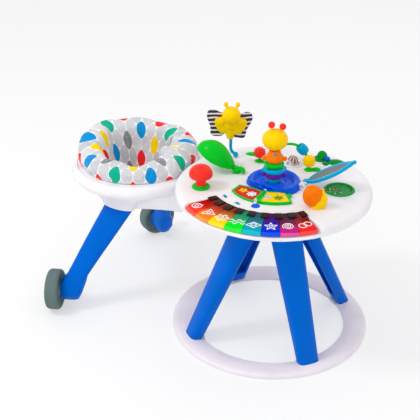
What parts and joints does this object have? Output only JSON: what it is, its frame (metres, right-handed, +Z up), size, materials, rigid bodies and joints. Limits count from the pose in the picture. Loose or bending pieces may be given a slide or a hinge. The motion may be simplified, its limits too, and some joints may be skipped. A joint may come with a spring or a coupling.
{
  "type": "baby activity center",
  "caption": "Round toy table on four legs over a floor ring, with a wheeled padded seat that walks round it on a swing arm, and turning, pressing and sliding toys on top.",
  "frame": {"origin": "on the floor, under the middle of the whole object's bounding box", "axes": "+X from the seat to the toy table, +Z up, and the piano side of the table faces -Y"},
  "size_m": [1.0058, 0.7096, 0.6788],
  "materials": {
    "white_plastic": "satin moulded white",
    "blue_plastic": "satin moulded bright blue",
    "tyre_grey": "matte grey-green",
    "steel": "brushed",
    "seat_fabric": "printed padded cloth",
    "green_plastic": "gloss",
    "red_plastic": "gloss",
    "cyan_plastic": "gloss",
    "orange_plastic": "gloss",
    "yellow_plastic": "gloss",
    "purple_plastic": "gloss",
    "teal_plastic": "gloss",
    "magenta_plastic": "gloss",
    "deep_blue_plastic": "gloss",
    "dark_plastic": "satin",
    "plastic_mirror": "polished",
    "clear_window": "clear",
    "striped_cloth": "black and white crinkle cloth"
  },
  "bodies": {
    "stand": {"base_ring": "white_plastic", "table_leg_front_left": "blue_plastic", "table_leg_front_right": "blue_plastic", "table_leg_rear_right": "blue_plastic", "table_leg_rear_left": "blue_plastic", "leg_hub": "blue_plastic", "table_pan": "white_plastic", "battery_door": "white_plastic", "tabletop": "white_plastic", "key_bezel": "dark_plastic", "centre_dish": "deep_blue_plastic", "stack_post": "teal_plastic", "mushroom_collar": "green_plastic", "leaf_stem": "green_plastic", "pond_frame": "green_plastic", "pond_window": "clear_window", "book_frame": "green_plastic", "red_ball_base": "green_plastic", "yellow_ball_base": "green_plastic", "arch": "green_plastic", "leaf_cluster": "green_plastic"},
    "seat_frame": {"swing_arm": "white_plastic", "seat_shell": "white_plastic", "seat_leg_near": "blue_plastic", "seat_leg_far": "blue_plastic", "axle_near": "steel", "axle_far": "steel"},
    "seat": {"swivel_ring": "white_plastic", "seat_sling": "seat_fabric"},
    "wheel_near": {"wheel_near": "tyre_grey"},
    "wheel_far": {"wheel_far": "tyre_grey"},
    "key_1": {"key_1": "red_plastic"},
    "key_2": {"key_2": "orange_plastic"},
    "key_3": {"key_3": "yellow_plastic"},
    "key_4": {"key_4": "green_plastic"},
    "key_5": {"key_5": "cyan_plastic"},
    "key_6": {"key_6": "deep_blue_plastic"},
    "key_7": {"key_7": "magenta_plastic"},
    "key_8": {"key_8": "red_plastic"},
    "ring_purple": {"ring_purple": "purple_plastic"},
    "ring_cyan": {"ring_cyan": "cyan_plastic"},
    "ring_green": {"ring_green": "green_plastic"},
    "ring_orange": {"ring_orange": "orange_plastic"},
    "stack_head": {"stack_head": "yellow_plastic"},
    "bug_stalk": {"bug_stalk": "blue_plastic"},
    "bug": {"bug_body": "yellow_plastic", "bug_wings": "striped_cloth"},
    "mushroom": {"mushroom": "red_plastic"},
    "leaf_lid": {"leaf_lid": "green_plastic"},
    "mirror_lid": {"mirror_lid": "cyan_plastic", "lid_mirror": "plastic_mirror"},
    "book_page": {"book_page": "green_plastic"},
    "round_button": {"round_button": "deep_blue_plastic"},
    "slide_switch_left": {"slide_switch_left": "cyan_plastic"},
    "slide_switch_right": {"slide_switch_right": "cyan_plastic"},
    "red_ball": {"red_ball": "red_plastic"},
    "yellow_ball": {"yellow_ball": "yellow_plastic"},
    "snail": {"snail": "orange_plastic"},
    "arch_bead": {"arch_bead": "cyan_plastic"},
    "spinner_mirror": {"spinner_mirror": "plastic_mirror"}
  },
  "joints": [
    {"name": "seat_swing", "type": "hinge", "parent": "stand", "child": "seat_frame", "pos_m": [0.198, 0, 0.43], "axis": [0, 0, 1], "continuous": true},
    {"name": "seat_swivel", "type": "hinge", "parent": "seat_frame", "child": "seat", "pos_m": [-0.289, 0, 0.43], "axis": [0, 0, 1], "continuous": true},
    {"name": "wheel_near_roll", "type": "hinge", "parent": "seat_frame", "child": "wheel_near", "pos_m": [-0.427, -0.2905, 0.065], "axis": [-0.9068, -0.4215, 0], "continuous": true},
    {"name": "wheel_far_roll", "type": "hinge", "parent": "seat_frame", "child": "wheel_far", "pos_m": [-0.427, 0.2905, 0.065], "axis": [-0.9068, 0.4215, 0], "continuous": true},
    {"name": "key_1_press", "type": "hinge", "parent": "stand", "child": "key_1", "pos_m": [0.1145, -0.16844, 0.4765], "axis": [0.896, -0.4441, 0], "range_deg": [0, 1.3], "stiffness_Nm_per_rad": 2, "springref_deg": -1.15},
    {"name": "key_2_press", "type": "hinge", "parent": "stand", "child": "key_2", "pos_m": [0.14679, -0.18089, 0.4765], "axis": [0.9622, -0.2724, 0], "range_deg": [0, 1.3], "stiffness_Nm_per_rad": 2, "springref_deg": -1.15},
    {"name": "key_3_press", "type": "hinge", "parent": "stand", "child": "key_3", "pos_m": [0.18082, -0.18721, 0.4765], "axis": [0.9958, -0.0914, 0], "range_deg": [0, 1.3], "stiffness_Nm_per_rad": 2, "springref_deg": -1.15},
    {"name": "key_4_press", "type": "hinge", "parent": "stand", "child": "key_4", "pos_m": [0.21543, -0.18719, 0.4765], "axis": [0.9957, 0.0927, 0], "range_deg": [0, 1.3], "stiffness_Nm_per_rad": 2, "springref_deg": -1.15},
    {"name": "key_5_press", "type": "hinge", "parent": "stand", "child": "key_5", "pos_m": [0.24945, -0.18082, 0.4765], "axis": [0.9618, 0.2736, 0], "range_deg": [0, 1.3], "stiffness_Nm_per_rad": 2, "springref_deg": -1.15},
    {"name": "key_6_press", "type": "hinge", "parent": "stand", "child": "key_6", "pos_m": [0.28172, -0.16833, 0.4765], "axis": [0.8954, 0.4453, 0], "range_deg": [0, 1.3], "stiffness_Nm_per_rad": 2, "springref_deg": -1.15},
    {"name": "key_7_press", "type": "hinge", "parent": "stand", "child": "key_7", "pos_m": [0.31116, -0.15013, 0.4765], "axis": [0.7986, 0.6019, 0], "range_deg": [0, 1.3], "stiffness_Nm_per_rad": 2, "springref_deg": -1.15},
    {"name": "key_8_press", "type": "hinge", "parent": "stand", "child": "key_8", "pos_m": [0.33676, -0.12684, 0.4765], "axis": [0.6747, 0.7381, 0], "range_deg": [0, 1.3], "stiffness_Nm_per_rad": 2, "springref_deg": -1.15},
    {"name": "ring_purple_spin", "type": "hinge", "parent": "stand", "child": "ring_purple", "pos_m": [0.198, 0, 0.494], "axis": [0, 0, 1], "continuous": true},
    {"name": "ring_cyan_spin", "type": "hinge", "parent": "stand", "child": "ring_cyan", "pos_m": [0.198, 0, 0.494], "axis": [0, 0, 1], "continuous": true},
    {"name": "ring_green_spin", "type": "hinge", "parent": "stand", "child": "ring_green", "pos_m": [0.198, 0, 0.494], "axis": [0, 0, 1], "continuous": true},
    {"name": "ring_orange_spin", "type": "hinge", "parent": "stand", "child": "ring_orange", "pos_m": [0.198, 0, 0.494], "axis": [0, 0, 1], "continuous": true},
    {"name": "stack_head_spin", "type": "hinge", "parent": "stand", "child": "stack_head", "pos_m": [0.198, 0, 0.494], "axis": [0, 0, 1], "continuous": true},
    {"name": "bug_sway", "type": "hinge", "parent": "stand", "child": "bug_stalk", "pos_m": [0.00642, 0.10787, 0.4898], "axis": [0.5218, -0.8531, 0], "range_deg": [-12, 12], "stiffness_Nm_per_rad": 0.6},
    {"name": "bug_spin", "type": "hinge", "parent": "bug_stalk", "child": "bug", "pos_m": [-0.00689, 0.09973, 0.543], "axis": [0, 0, 1], "continuous": true},
    {"name": "mushroom_press", "type": "slide", "parent": "stand", "child": "mushroom", "axis": [0, 0, -1], "range_m": [0, 0.003], "stiffness_N_per_m": 300, "springref_m": -0.004},
    {"name": "leaf_lid_lift", "type": "hinge", "parent": "stand", "child": "leaf_lid", "pos_m": [0.06043, 0.01557, 0.489], "axis": [-0.2394, 0.9709, 0], "range_deg": [-24, 55]},
    {"name": "mirror_lid_lift", "type": "hinge", "parent": "stand", "child": "mirror_lid", "pos_m": [0.28392, 0.03479, 0.494], "axis": [0.3883, -0.9215, 0], "range_deg": [-26.5, 60]},
    {"name": "book_page_turn", "type": "hinge", "parent": "stand", "child": "book_page", "pos_m": [0.20612, -0.09566, 0.4885], "axis": [0.0845, -0.9964, 0], "range_deg": [0, 172]},
    {"name": "round_button_press", "type": "slide", "parent": "stand", "child": "round_button", "axis": [0, 0, -1], "range_m": [0, 0.002], "stiffness_N_per_m": 300, "springref_m": -0.003},
    {"name": "slide_switch_left_move", "type": "slide", "parent": "stand", "child": "slide_switch_left", "axis": [0.8513, -0.5247, 0], "range_m": [-0.0052, 0.0052]},
    {"name": "slide_switch_right_move", "type": "slide", "parent": "stand", "child": "slide_switch_right", "axis": [0.9798, -0.2002, 0], "range_m": [-0.0052, 0.0052]},
    {"name": "red_ball_spin", "type": "hinge", "parent": "stand", "child": "red_ball", "pos_m": [0.08509, 0.11942, 0.484], "axis": [0, 0, 1], "continuous": true},
    {"name": "yellow_ball_spin", "type": "hinge", "parent": "stand", "child": "yellow_ball", "pos_m": [0.24189, 0.14349, 0.484], "axis": [0, 0, 1], "continuous": true},
    {"name": "snail_spin", "type": "hinge", "parent": "stand", "child": "snail", "pos_m": [0.36018, -0.0648, 0.484], "axis": [0, 0, 1], "continuous": true},
    {"name": "arch_bead_slide", "type": "hinge", "parent": "stand", "child": "arch_bead", "pos_m": [0.15928, 0.17654, 0.4793], "axis": [0.5218, -0.8531, 0], "range_deg": [-18, 112]},
    {"name": "spinner_mirror_spin", "type": "hinge", "parent": "stand", "child": "spinner_mirror", "pos_m": [0.18516, 0.14966, 0.4975], "axis": [-0.0323, 0.9995, 0], "continuous": true}
  ]
}
